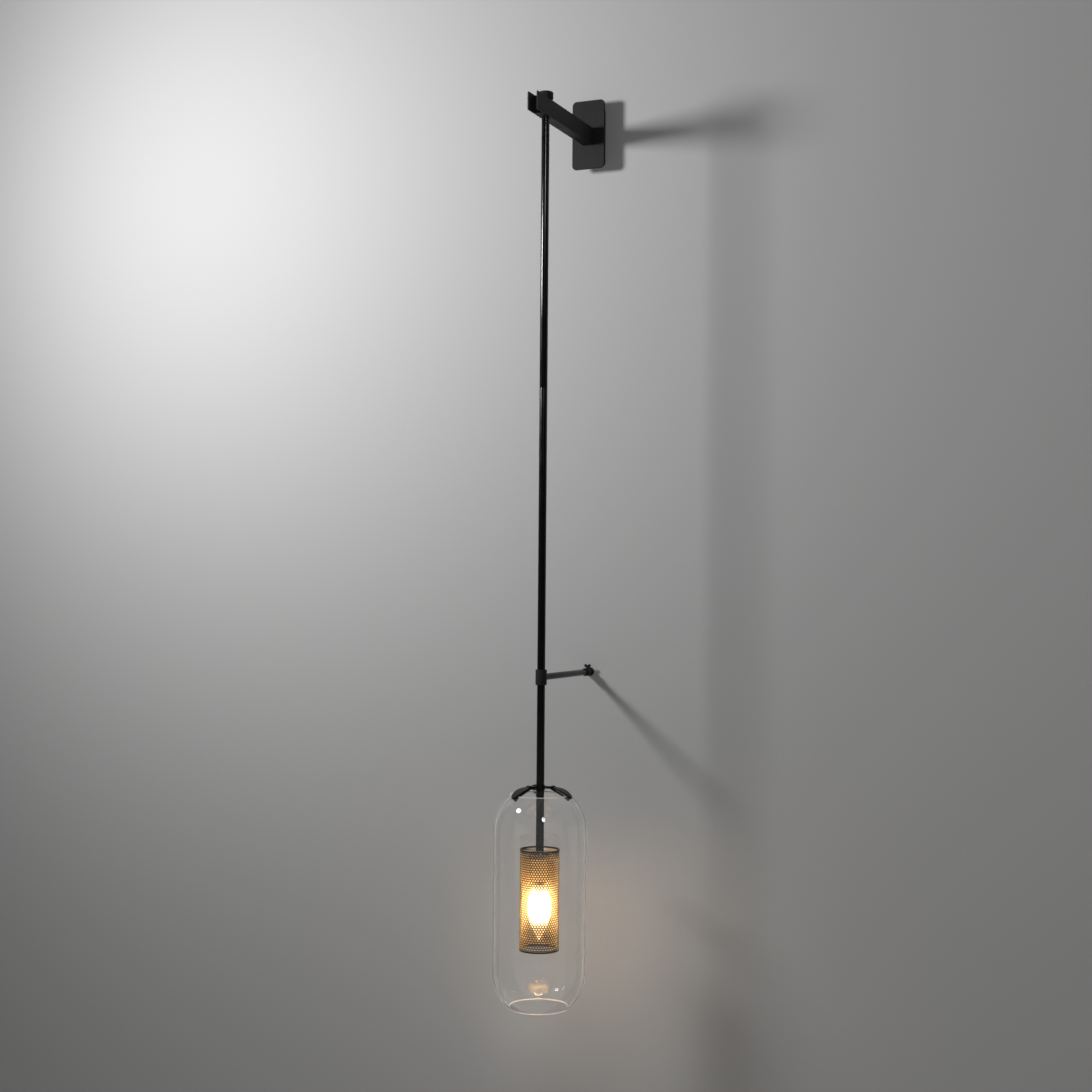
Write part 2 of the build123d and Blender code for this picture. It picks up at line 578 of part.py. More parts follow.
# Small headless screw that locks the hub on the rod.
with BuildPart() as hub_screw:
    with BuildSketch(Plane((0, -ROD_OUT, HUB_Z), z_dir=(cos(radians(60)), sin(radians(60)), 0)).offset(HUB_R)):
        Circle(HUB_SCREW_R)
    extrude(amount=1)
hub_screw.part.label = "hub_screw"
export_step(hub_screw.part, "parts/hub_screw.step")

# Leaves: bent blades, rounded at the tip, hinged on the tongues. At rest they lie over the glass.
leaf_tip = Vector(*on_ball(GLASS_R + MOVE + LEAF_T / 2, LEAF_TIP_ANGLE))
for n in range(CLAWS):
    with BuildPart() as claw_leaf:
        with BuildSketch(claw_plane(n)):
            with BuildLine():
                ThreePointArc((PIVOT_R, PIVOT_Z), (LEAF_MID_R, GLASS_RIM_Z + LEAF_RISE), (leaf_tip.X, leaf_tip.Y))
            trace(line_width=LEAF_T)
        extrude(amount=LEAF_W, both=True)
        with BuildSketch(claw_level(n, PIVOT_Z)):
            with BuildLine():
                shoulder = (leaf_tip.X - LEAF_TIP_L, LEAF_SHOULDER_W / 2)
                Polyline((PIVOT_R, 0), (PIVOT_R, ear_outside), (PIVOT_R + EYE_R, ear_outside))
                ThreePointArc((PIVOT_R + EYE_R, ear_outside), (LEAF_WIDEST_R, LEAF_W / 2), shoulder)
                ThreePointArc(shoulder, (leaf_tip.X, 0), (shoulder[0], -shoulder[1]))
                mirror(about=Plane.XZ)
            make_face()
        extrude(amount=LEAF_W * 2, both=True, mode=Mode.INTERSECT)
        with BuildSketch(claw_plane(n)):
            with Locations((PIVOT_R, PIVOT_Z)):
                Circle(EYE_R)
        extrude(amount=ear_outside, both=True)
        with BuildSketch(claw_plane(n)):
            with Locations((PIVOT_R, PIVOT_Z)):
                Circle(EYE_R + MOVE)
        extrude(amount=TONGUE_W / 2 + MOVE, both=True, mode=Mode.SUBTRACT)
        with BuildSketch(claw_plane(n)):
            with Locations((PIVOT_R, PIVOT_Z)):
                Circle(PIN_R + RUN)
        extrude(amount=LEAF_W, both=True, mode=Mode.SUBTRACT)
    claw_leaf.part.label = f"claw_leaf_{n + 1}"
    export_step(claw_leaf.part, f"parts/claw_leaf_{n + 1}.step")

# ==== pierced tube ===============================================================================

tube_bottom_z = TUBE_TOP_Z - TUBE_L
tube_in_r = TUBE_R - TUBE_T

# Rolled brass sheet. Its fine piercing is a surface finish on this wall.
with BuildPart() as mesh_tube:
    with BuildSketch(at_rod(tube_bottom_z + RING_LIP)):
        Circle(TUBE_R)
        Circle(tube_in_r, mode=Mode.SUBTRACT)
    extrude(amount=TUBE_L - 2 * RING_LIP)
mesh_tube.part.label = "mesh_tube"
export_step(mesh_tube.part, "parts/mesh_tube.step")

# Folded rims over the tube's ends.
for name, end_z, inward in (("tube_top_ring", TUBE_TOP_Z, -1), ("tube_bottom_ring", tube_bottom_z, 1)):
    with BuildPart() as tube_ring:
        with BuildSketch(at_rod(end_z)):
            Circle(TUBE_R + RING_T)
            Circle(tube_in_r - RING_T, mode=Mode.SUBTRACT)
        extrude(amount=inward * RING_H)
        with BuildSketch(at_rod(end_z + inward * RING_LIP)):
            Circle(TUBE_R + SNUG)
            Circle(tube_in_r - SNUG, mode=Mode.SUBTRACT)
        extrude(amount=inward * RING_H, mode=Mode.SUBTRACT)
    tube_ring.part.label = name
    export_step(tube_ring.part, f"parts/{name}.step")

# Strap across the tube, clamped between rod and lampholder, its ends turned down on the tube wall.
with BuildPart() as tube_bridge:
    with BuildSketch(at_rod(bridge_z)):
        Circle(tube_in_r - SNUG)
        Rectangle(2 * TUBE_R, BRIDGE_W, mode=Mode.INTERSECT)
    extrude(amount=-BRIDGE_TAB)
    with BuildSketch(at_rod(bridge_z - BRIDGE_T)):
        Circle(tube_in_r - BRIDGE_T)
    extrude(amount=-BRIDGE_TAB, mode=Mode.SUBTRACT)
    with BuildSketch(at_rod(bridge_z)):
        Circle(ROD_BORE_R)
    extrude(amount=-BRIDGE_T, mode=Mode.SUBTRACT)
tube_bridge.part.label = "tube_bridge"
export_step(tube_bridge.part, "parts/tube_bridge.step")

# ==== lampholder =================================================================================

# Hollow threaded nipple: screwed up into the rod, through strap and cup, down through the nut.
with BuildPart() as lamp_nipple:
    with BuildSketch(at_rod(ROD_END_Z - NIPPLE_DOWN)):
        Circle(ROD_BORE_R - SNUG)
        Circle(NIPPLE_BORE_R, mode=Mode.SUBTRACT)
    extrude(amount=NIPPLE_UP + NIPPLE_DOWN)
lamp_nipple.part.label = "lamp_nipple"
export_step(lamp_nipple.part, "parts/lamp_nipple.step")

# Plated cup over the lampholder.
with BuildPart() as holder_cup:
    with BuildSketch(at_rod(cup_top)):
        Circle(CUP_R)
    extrude(amount=-CUP_H)
    fillet(holder_cup.faces().sort_by(Axis.Z)[-1].edges(), CUP_T)
    with BuildSketch(at_rod(cup_top - CUP_T)):
        Circle(CUP_R - CUP_T)
    extrude(amount=-CUP_H, mode=Mode.SUBTRACT)
    with BuildSketch(at_rod(cup_top)):
        Circle(ROD_BORE_R)
    extrude(amount=-CUP_T, mode=Mode.SUBTRACT)
holder_cup.part.label = "holder_cup"
export_step(holder_cup.part, "parts/holder_cup.step")

# Nut inside the cup.
with BuildPart() as nipple_nut:
    with BuildSketch(at_rod(nut_top)):
        RegularPolygon(NUT_AF / 2, 6, major_radius=False)
        Circle(ROD_BORE_R, mode=Mode.SUBTRACT)
    extrude(amount=-NUT_T)
nipple_nut.part.label = "nipple_nut"
export_step(nipple_nut.part, "parts/nipple_nut.step")

# Ceramic lampholder: flange inside the cup, barrel, socket from below, two wire holes above.
with BuildPart() as holder_body:
    with BuildSketch(at_rod(holder_top)):
        Circle(CUP_R - CUP_T - SNUG)
    extrude(amount=-HOLDER_FLANGE_T)
    with BuildSketch(at_rod(holder_top)):
        Circle(HOLDER_R)
    extrude(amount=-HOLDER_L)
    fillet(holder_body.faces().sort_by(Axis.Z)[0].edges(), 1)
    with BuildSketch(at_rod(holder_bottom)):
        Circle(SOCKET_MOUTH_R)
    extrude(amount=SOCKET_DEPTH, mode=Mode.SUBTRACT)
    with BuildSketch(at_rod(holder_top)):
        Circle(ROD_BORE_R + MOVE)
    extrude(amount=-HOLDER_RECESS, mode=Mode.SUBTRACT)
    with BuildSketch(at_rod(socket_top)):
        with GridLocations(0, 2 * (ROD_BORE_R - HOLDER_WIRE_R), 1, 2):
            Circle(HOLDER_WIRE_R)
    extrude(amount=HOLDER_L, mode=Mode.SUBTRACT)
holder_body.part.label = "holder_body"
export_step(holder_body.part, "parts/holder_body.step")

# Threaded brass shell in the socket. Plain walls stand for the thread.
with BuildPart() as holder_shell:
    with BuildSketch(at_rod(holder_bottom + 1)):
        Circle(SOCKET_MOUTH_R - SNUG)
        Circle(SHELL_BORE_R, mode=Mode.SUBTRACT)
    extrude(amount=SHELL_L)
holder_shell.part.label = "holder_shell"
export_step(holder_shell.part, "parts/holder_shell.step")

# Springy centre contact, folded down from the socket's ceiling to the bulb's button.
with BuildPart() as centre_contact:
    with BuildSketch(Plane.XZ.offset(ROD_OUT)):
        with BuildLine():
            ceiling = socket_top - CONTACT_T / 2 - SNUG
            Polyline((-CONTACT_L / 2, ceiling), (CONTACT_L / 2, ceiling),
                     (0, bulb_top + MOVE + CONTACT_T))
        trace(line_width=CONTACT_T)
    extrude(amount=CONTACT_W / 2, both=True)
centre_contact.part.label = "centre_contact"
export_step(centre_contact.part, "parts/centre_contact.step")

# ==== bulb =======================================================================================

# Screw cap of the candle bulb: button, insulator cone, threaded shell, flared skirt.
with BuildPart() as bulb_cap:
    with BuildSketch(Plane.XZ.offset(ROD_OUT)):
        with BuildLine():
            button_base = bulb_top - BULB_BUTTON_L
            Polyline((0, bulb_top), (BULB_BUTTON_R, bulb_top), (BULB_BUTTON_R, button_base),
                     (BULB_CAP_R, button_base - BULB_BUTTON_L), (BULB_CAP_R, skirt_top),
                     (BULB_SKIRT_R, flare_bottom), (BULB_SKIRT_R, skirt_top - BULB_SKIRT_L),
                     (BULB_NECK_R + SNUG, skirt_top - BULB_SKIRT_L),
                     (BULB_NECK_R + SNUG, flare_bottom), (0, flare_bottom), (0, bulb_top))
        make_face()
    revolve(axis=Axis((0, -ROD_OUT, 0), (0, 0, 1)))
bulb_cap.part.label = "bulb_cap"
export_step(bulb_cap.part, "parts/bulb_cap.step")


def bulb_outline(inset):
    """Half outline of the candle bulb, drawn in by inset and closed along the axis."""
    neck_r, tip = BULB_NECK_R - inset, (0, bulb_tip + inset)
    Polyline(tip, (0, neck_top), (neck_r, neck_top), (neck_r, neck_bottom))
    Spline((neck_r, neck_bottom), (BULB_R - inset, widest_z), tip)


# Thin glass envelope, pointed downwards.
with BuildPart() as bulb_glass:
    with BuildSketch(Plane.XZ.offset(ROD_OUT)):
        with BuildLine():
            bulb_outline(0)
        make_face()
        with BuildLine():
            bulb_outline(BULB_GLASS_T)
        make_face(mode=Mode.SUBTRACT)
    revolve(axis=Axis((0, -ROD_OUT, 0), (0, 0, 1)))
bulb_glass.part.label = "bulb_glass"
export_step(bulb_glass.part, "parts/bulb_glass.step")

# Glass stem with the two small plates that the filaments are welded to.
filament_top = neck_top - STEM_L - STEM_PLATE_T
with BuildPart() as bulb_stem:
    with BuildSketch(at_rod(neck_top)):
        Circle(BULB_NECK_R - BULB_GLASS_T - SNUG)
    extrude(amount=-STEM_PLATE_T)
    with BuildSketch(at_rod(neck_top)):
        Circle(STEM_FOOT_R)
    extrude(amount=-STEM_L)
    with BuildSketch(at_rod(neck_top)):
        Circle(STEM_R)
    extrude(amount=-(STEM_L + FILAMENT_L + 2 * STEM_PLATE_T))
    for plate_z in (filament_top, filament_top - FILAMENT_L - STEM_PLATE_T):
        with BuildSketch(at_rod(plate_z)):
            Circle(FILAMENT_RING_R + FILAMENT_R)
        extrude(amount=STEM_PLATE_T)
bulb_stem.part.label = "bulb_stem"
export_step(bulb_stem.part, "parts/bulb_stem.step")

# Straight lit filaments between the plates.
with BuildPart() as bulb_filaments:
    with BuildSketch(at_rod(filament_top - SNUG)):
        with PolarLocations(FILAMENT_RING_R, FILAMENTS):
            Circle(FILAMENT_R)
    extrude(amount=-(FILAMENT_L - 2 * SNUG))
bulb_filaments.part.label = "bulb_filaments"
export_step(bulb_filaments.part, "parts/bulb_filaments.step")
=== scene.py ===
"""Looks of a wall light with a long hanging rod, a clear glass shade and a pierced brass tube.

Sizes and heights in capitals are in millimetres, unless a comment says otherwise, and times MM
they become Blender's metres. The rod's axis is upright at x 0, y -195. The wall is the plane y 0,
and z 0 is the middle of the wall plate.
"""
from math import asin, cos, exp, pi, radians, sin

import bmesh
import bpy
import numpy as np
from mathutils import Matrix, Vector


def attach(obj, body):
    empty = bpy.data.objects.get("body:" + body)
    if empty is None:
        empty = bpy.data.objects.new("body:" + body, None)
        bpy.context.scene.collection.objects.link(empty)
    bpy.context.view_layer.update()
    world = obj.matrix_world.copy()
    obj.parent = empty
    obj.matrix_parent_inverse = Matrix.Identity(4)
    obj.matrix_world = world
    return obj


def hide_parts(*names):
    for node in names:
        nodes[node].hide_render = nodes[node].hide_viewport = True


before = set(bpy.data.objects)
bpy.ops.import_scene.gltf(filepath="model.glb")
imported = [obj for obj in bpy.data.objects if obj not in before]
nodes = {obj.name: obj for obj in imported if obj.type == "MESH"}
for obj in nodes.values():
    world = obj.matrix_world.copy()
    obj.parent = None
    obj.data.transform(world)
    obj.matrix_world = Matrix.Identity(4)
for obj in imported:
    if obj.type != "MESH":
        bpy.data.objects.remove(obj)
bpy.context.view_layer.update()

# ==== camera =====================================================================================
# A short telephoto on a stand, right of the light and 2.5 m out from the wall, looking level and to
# the left. The whole light is in the frame.
MM = 0.001
SENSOR = 36.0
FOCAL_IN_PIXELS, FRAME_IN_PIXELS = 1663.52, 1092
STAND = np.array([1002.31, -2477.51, -723.82])
scene = bpy.context.scene
yaw, pitch, roll = radians(23.5766), radians(1.3853), radians(0.4554)
look = np.array([-sin(yaw) * cos(pitch), cos(yaw) * cos(pitch), sin(pitch)])
level = np.array([cos(yaw), sin(yaw), 0.0])
upright = np.cross(level, look)
right = level * cos(roll) + upright * sin(roll)
up = upright * cos(roll) - level * sin(roll)
lens = bpy.data.cameras.new("camera")
lens.sensor_width = SENSOR
lens.lens = FOCAL_IN_PIXELS / FRAME_IN_PIXELS * SENSOR
lens.clip_end = 50.0
camera = bpy.data.objects.new("camera", lens)
turned = [[right[i], up[i], -look[i], STAND[i] * MM] for i in range(3)]
camera.matrix_world = Matrix(turned + [[0, 0, 0, 1]])
scene.collection.objects.link(camera)
scene.camera = camera


# ==== wall plate, tray and fixings ===============================================================
# Laser-cut steel plate, 4 mm thick, on a shallow pressed tray, both sandblasted and powder coated
# satin black. Two screws hold the tray on a zinc-plated strap, which also bears a terminal block.
def linear(colour):
    """Linear rgb of an sRGB hex colour: below 0.04045 over 12.92, above it the 2.4 power curve."""
    c = np.array([int(colour[i:i + 2], 16) for i in (1, 3, 5)]) / 255
    return (*np.where(c <= 0.04045, c / 12.92, ((c + 0.055) / 1.055) ** 2.4).tolist(), 1.0)


def put(tree, kind, sockets, **own):
    """Adds one node with its own settings. A socket gets a value, or a link if given an output."""
    made = tree.nodes.new(kind)
    for name, value in own.items():
        setattr(made, name, value)
    for name, value in sockets.items():
        if isinstance(value, bpy.types.NodeSocket):
            tree.links.new(value, made.inputs[name])
        else:
            made.inputs[name].default_value = value
    return made


def new_finish(name):
    """An empty material with its node tree, its output node and its object coordinates."""
    material = bpy.data.materials.new(name)
    material.use_nodes = True
    tree = material.node_tree
    tree.nodes.clear()
    out = put(tree, "ShaderNodeOutputMaterial", {})
    return material, tree, out, put(tree, "ShaderNodeTexCoord", {}).outputs["Object"]


def coated(name, dark, pale, rough, peel, peel_size, coat=0.0, ior=1.3):
    """A sprayed, glazed or moulded skin: two close shades in soft patches about 30 mm across, gloss
    that varies a little with the patches, and an orange peel of a given strength, with its grain
    size in metres."""
    material, tree, out, place = new_finish(name)
    patches = put(tree, "ShaderNodeTexNoise", {"Vector": place, "Scale": 35.0, "Detail": 4.0,
                                               "Roughness": 0.6})
    shade = put(tree, "ShaderNodeMix", {"Factor": patches.outputs["Fac"], 6: linear(dark),
                                        7: linear(pale)}, data_type="RGBA")
    gloss = put(tree, "ShaderNodeMapRange", {"Value": patches.outputs["Fac"], "From Min": 0.3,
                                             "From Max": 0.7, "To Min": rough - 0.04,
                                             "To Max": rough + 0.05})
    skin = put(tree, "ShaderNodeTexNoise", {"Vector": place, "Scale": 1 / peel_size, "Detail": 2.0,
                                            "Roughness": 0.5})
    bumps = put(tree, "ShaderNodeBump", {"Strength": peel, "Distance": 0.0002,
                                         "Height": skin.outputs["Fac"]})
    body = put(tree, "ShaderNodeBsdfPrincipled", {"Base Color": shade.outputs[2], "IOR": ior,
                                                  "Roughness": gloss.outputs["Result"],
                                                  "Normal": bumps.outputs["Normal"],
                                                  "Coat Weight": coat, "Coat Roughness": 0.15})
    tree.links.new(body.outputs["BSDF"], out.inputs["Surface"])
    return material


def metal(name, dark, pale, rough, grain, grain_size, packed=(1, 1, 1)):
    """Bare or plated metal: two close tones in fine lines or clouds of a given size in metres,
    packed closer along an axis by its factor. They vary the gloss and dent the surface a little."""
    material, tree, out, place = new_finish(name)
    drawn = put(tree, "ShaderNodeMapping", {"Vector": place, "Scale": packed})
    lines = put(tree, "ShaderNodeTexNoise", {"Vector": drawn.outputs["Vector"],
                                             "Scale": 1 / grain_size, "Detail": 3.0,
                                             "Roughness": 0.55})
    tone = put(tree, "ShaderNodeMix", {"Factor": lines.outputs["Fac"], 6: linear(dark),
                                       7: linear(pale)}, data_type="RGBA")
    gloss = put(tree, "ShaderNodeMapRange", {"Value": lines.outputs["Fac"], "From Min": 0.25,
                                             "From Max": 0.75, "To Min": rough * 0.75,
                                             "To Max": rough * 1.3})
    dents = put(tree, "ShaderNodeBump", {"Strength": grain, "Distance": 0.0001,
                                         "Height": lines.outputs["Fac"]})
    body = put(tree, "ShaderNodeBsdfPrincipled", {"Base Color": tone.outputs[2], "Metallic": 1.0,
                                                  "Roughness": gloss.outputs["Result"],
                                                  "Normal": dents.outputs["Normal"]})
    tree.links.new(body.outputs["BSDF"], out.inputs["Surface"])
    return material


def dress(material, *names):
    """Gives CAD nodes this finish."""
    for name in names:
        nodes[name].data.materials.clear()
        nodes[name].data.materials.append(material)


def into_scene(name, points, faces, material, body, replaced, sharp=40):
    """A new piece from points and faces, smooth up to the sharp angle, riding on its CAD body. It
    stands in for the CAD nodes that it replaces."""
    mesh = bpy.data.meshes.new(name)
    mesh.from_pydata(np.asarray(points, float).tolist(), [], faces)
    mesh.validate()
    mesh.shade_smooth()
    mesh.set_sharp_from_angle(angle=radians(sharp))
    mesh.materials.append(material)
    piece = bpy.data.objects.new(name, mesh)
    scene.collection.objects.link(piece)
    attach(piece, body)
    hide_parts(*replaced)
    return piece


def net(rows, columns, close_rows=False):
    """Faces of a grid of points numbered row by row, joined round the columns and, if asked, the
    rows."""
    i = np.arange(rows if close_rows else rows - 1)[:, None]
    j = np.arange(columns)[None, :]
    i2, j2 = (i + 1) % rows, (j + 1) % columns
    corners = [i * columns + j, i * columns + j2, i2 * columns + j2, i2 * columns + j]
    return np.stack(corners, -1).reshape(-1, 4)


def slab(half_w, half_h, corner, depths, insets, steps=8):
    """Points of an upright rounded rectangle in x and z, repeated at each depth along y. Each copy
    is drawn in by its inset, so that the rims come out rounded. A corner is a quarter circle whose
    radius is the corner's less the inset."""
    turn = np.linspace(0, pi / 2, steps)
    quarter = np.concatenate([turn + pi / 2 * k for k in range(4)])
    cx = np.repeat([1, -1, -1, 1], steps) * (half_w - corner)
    cz = np.repeat([1, 1, -1, -1], steps) * (half_h - corner)
    r = (corner - np.asarray(insets, float))[:, None]
    x, z = cx + r * np.cos(quarter), cz + r * np.sin(quarter)
    y = np.repeat(np.asarray(depths, float)[:, None], x.shape[1], 1)
    return np.stack([x, y, z], -1)


def rounded(back, front, edge, steps=4):
    """Depths and insets of a slab from its back to its front, which is at the lower y. Both rims
    are rounded by a quarter circle. At the angle t from the face its inset is edge times one less
    the sine of t, and its depth under the face is edge times one less the cosine of t."""
    t = np.linspace(0, pi / 2, steps)
    rise, fall = edge * (1 - np.cos(t)), edge * (1 - np.sin(t))
    return np.concatenate([back - rise, front + fall]), np.concatenate([fall, rise])


# Powder coat: dull and even, with a faint orange peel that breaks up the highlights.
black_coat = coated("satin_black_powder_coat", "#1c1c1e", "#272729", 0.50, 0.28, 0.6 * MM, ior=1.22)
# Zinc plate: pale, a little blue and cloudy, with fine lines across from the bending.
zinc = metal("bright_zinc_plated_steel", "#a9adb2", "#c3c6c9", 0.36, 0.15, 1.2 * MM, (1, 1, 6))
# Blackened steel: nearly black, with an oily half gleam on the heads.
black_screw = coated("blackened_steel_screw", "#0f0f10", "#171717", 0.38, 0.15, 0.4 * MM)
# Stamped brass: warm yellow, with a soft gleam.
bare_brass = metal("bare_stamped_brass", "#b08c4a", "#d0ad6b", 0.26, 0.10, 2.0 * MM)
# Moulded polyamide: milky white, with an even half gloss.
block_plastic = coated("moulded_polyamide", "#d2cec2", "#dcd8cc", 0.42, 0.06, 0.5 * MM)
PLATE_W, PLATE_H, PLATE_CORNER, PLATE_EDGE = 55.0, 110.0, 7.0, 0.6
PLATE_BACK, PLATE_FRONT = -21.1, -25.0
depths, insets = rounded(PLATE_BACK * MM, PLATE_FRONT * MM, PLATE_EDGE * MM)
rims = slab(PLATE_W / 2 * MM, PLATE_H / 2 * MM, PLATE_CORNER * MM, depths, insets)
last, around = rims.shape[0] - 1, rims.shape[1]
back_lid = list(range(around))
front_lid = list(range(last * around, (last + 1) * around))[::-1]
faces = net(last + 1, around).tolist() + [back_lid, front_lid]
into_scene("plate_front", rims.reshape(-1, 3), faces, black_coat, "wall_side",
           ("wall_plate",))
dress(black_coat, "canopy_tray")
dress(zinc, "wall_bracket", "bracket_ears")
dress(black_screw, "tray_screws")
dress(block_plastic, "terminal_block")
dress(bare_brass, "terminal_screws")

# ==== arm ========================================================================================
# Box section steel tube, coated like the plate. A block welded in its root takes two screws through
# the plate. Its top and bottom walls are sawn back at the free end, so its sides stand on as two
# prongs, and a second block closes it there. The three values are in metres, degrees and degrees.
WELD, FLAT, CORNER = 2e-6, 0.5, 35


def softened(node, width, material, body):
    """A copy of a CAD node with rounded edges. Its triangles are welded where their points are
    closer than WELD, its flat faces are joined where they turn by less than FLAT, and each edge
    sharper than CORNER is rounded over a width in metres."""
    form = bmesh.new()
    form.from_mesh(nodes[node].data)
    bmesh.ops.remove_doubles(form, verts=form.verts, dist=WELD)
    bmesh.ops.dissolve_limit(form, angle_limit=radians(FLAT), verts=form.verts, edges=form.edges)
    form.verts.ensure_lookup_table()
    points = [tuple(v.co) for v in form.verts]
    faces = [[v.index for v in f.verts] for f in form.faces]
    form.free()
    piece = into_scene(node + "_finished", points, faces, material, body, (node,), CORNER)
    rim = piece.modifiers.new("rounded_edges", "BEVEL")
    rim.width, rim.segments = width, 3
    rim.limit_method, rim.angle_limit = "ANGLE", radians(CORNER)
    rim.use_clamp_overlap = True
    piece.modifiers.new("even_shading", "WEIGHTED_NORMAL").keep_sharp = True


softened("arm_tube", 0.6 * MM, black_coat, "wall_side")
softened("arm_nose_block", 0.3 * MM, black_coat, "wall_side")
dress(zinc, "arm_end_block", "arm_screws")


# ==== rod ========================================================================================
# Two lengths of 12 mm steel tube screwed together, straightened, polished and lacquered black. The
# upper one ends in a turned cap, which lies on a nylon washer on the arm.
def outline(corners, edges, steps=5):
    """A closed outline in mm from its corners. Each corner becomes a quadratic Bezier curve, which
    leaves one side and joins the next at the corner's edge length from it."""
    p = np.asarray(corners, float)
    before, after = np.roll(p, 1, 0) - p, np.roll(p, -1, 0) - p
    long_before = np.linalg.norm(before, axis=1, keepdims=True)
    long_after = np.linalg.norm(after, axis=1, keepdims=True)
    cut = np.minimum(np.asarray(edges, float).reshape(-1, 1),
                     0.45 * np.minimum(long_before, long_after))
    a, b = p + before / long_before * cut, p + after / long_after * cut
    t = np.linspace(0, 1, steps)[None, :, None]
    curves = (1 - t) ** 2 * a[:, None] + 2 * t * (1 - t) * p[:, None] + t ** 2 * b[:, None]
    return curves.reshape(-1, 2)


def ring_of(inner, outer, low, high):
    """Corners of a ring's section, in mm."""
    return [(inner, low), (outer, low), (outer, high), (inner, high)]


ROD = np.array([0.0, -195.0, 0.0])


def spun(name, profile, material, body, replaced, around=96, origin=ROD, along="z"):
    """A turned piece: the closed profile of radius r and height h, in mm, goes round an axis
    through origin. At the angle a its points lie at r cos a and r sin a from the axis, with h going
    up along z or out from the wall along y. Points on the axis, at radius 0, become one pole."""
    r, h = np.asarray(profile, float).T * MM
    turn = np.linspace(0, 2 * pi, around, endpoint=False)
    c, s = r[:, None] * np.cos(turn), r[:, None] * np.sin(turn)
    height = np.repeat(h[:, None], around, 1)
    points = np.stack([c, s, height] if along == "z" else [c, -height, s], -1) + origin * MM
    index = np.arange(len(r) * around).reshape(-1, around)
    index[r < 1e-9] = index[r < 1e-9][:, :1]
    quads = index.reshape(-1)[net(len(r), around, close_rows=True)]
    x, y = profile.T
    goes_clockwise = (x * np.roll(y, -1) - np.roll(x, -1) * y).sum() < 0
    if goes_clockwise:
        quads = quads[:, ::-1]
    faces = [list(dict.fromkeys(f)) for f in quads.tolist()]
    faces = [f for f in faces if len(f) > 2]
    used, back = np.unique(np.concatenate([np.array(f) for f in faces]), return_inverse=True)
    cuts = np.cumsum([len(f) for f in faces])[:-1]
    into_scene(name, points.reshape(-1, 3)[used], [f.tolist() for f in np.split(back, cuts)],
               material, body, replaced)


# Lacquer on polished steel: deep black and glossy, so that one long thin highlight runs down it.
black_lacquer = coated("black_lacquered_steel_rod", "#050506", "#0a0a0b", 0.17, 0.10, 1.5 * MM,
                       ior=1.4)
# Moulded nylon: black and waxy, duller than the coat above and below it.
nylon = coated("black_moulded_nylon", "#151515", "#1c1c1c", 0.55, 0.10, 0.5 * MM)
ROD_BORE, ROD_R = 4.5, 6.0
ROD_TOP, ROD_JOINT, ROD_END = 18.0, -426.0, -1118.0
CAP_BORE, CAP_R, CAP_LOW, CAP_CEILING, CAP_TOP = 6.03, 11.5, 11.1, 18.2, 21.1
spun("rod_upper_tube", outline(ring_of(ROD_BORE, ROD_R, ROD_JOINT, ROD_TOP), [0.2, 0.45, 0.3, 0.2]),
     black_lacquer, "pendant", ("rod_upper",), 64)
spun("rod_lower_tube", outline(ring_of(ROD_BORE, ROD_R, ROD_END, ROD_JOINT), [0.2, 0.3, 0.45, 0.2]),
     black_lacquer, "pendant", ("rod_lower",), 64)
cap = [(0, CAP_CEILING), (CAP_BORE, CAP_CEILING), (CAP_BORE, CAP_LOW), (CAP_R, CAP_LOW),
       (CAP_R, CAP_TOP), (0, CAP_TOP)]
spun("rod_cap_turned", outline(cap, [0, 0.1, 0.2, 0.4, 1.4, 0]), black_coat, "pendant",
     ("rod_cap",))
dress(nylon, "rod_washer")
dress(zinc, "rod_joiner")

# ==== stay =======================================================================================
# Round bar from the wall to a turned ring on the rod, lacquered with the rod. Its foot is a turned
# flange and socket, and a small thumb screw with two ears pinches the bar there.
COLLAR_BORE, COLLAR_R, COLLAR_LOW, COLLAR_TOP = 6.05, 8.5, -871.5, -848.5
STAY_R, STAY_FROM_WALL, STAY_AT_COLLAR = 5.0, 4.05, 187.2
STAY_FOOT = np.array([0.0, 0.0, -860.0])
spun("collar_turned", outline(ring_of(COLLAR_BORE, COLLAR_R, COLLAR_LOW, COLLAR_TOP),
                              [0.2, 0.7, 0.7, 0.2]),
     black_coat, "wall_side", ("stay_collar",))
spun("stay_bar", outline(ring_of(0, STAY_R, STAY_FROM_WALL, STAY_AT_COLLAR), [0, 0.3, 0.2, 0]),
     black_lacquer, "wall_side", ("stay_rod",), 64, STAY_FOOT, "y")
softened("stay_foot", 0.4 * MM, black_coat, "wall_side")
softened("thumb_screw", 0.3 * MM, black_screw, "thumb")
dress(black_screw, "collar_screw")


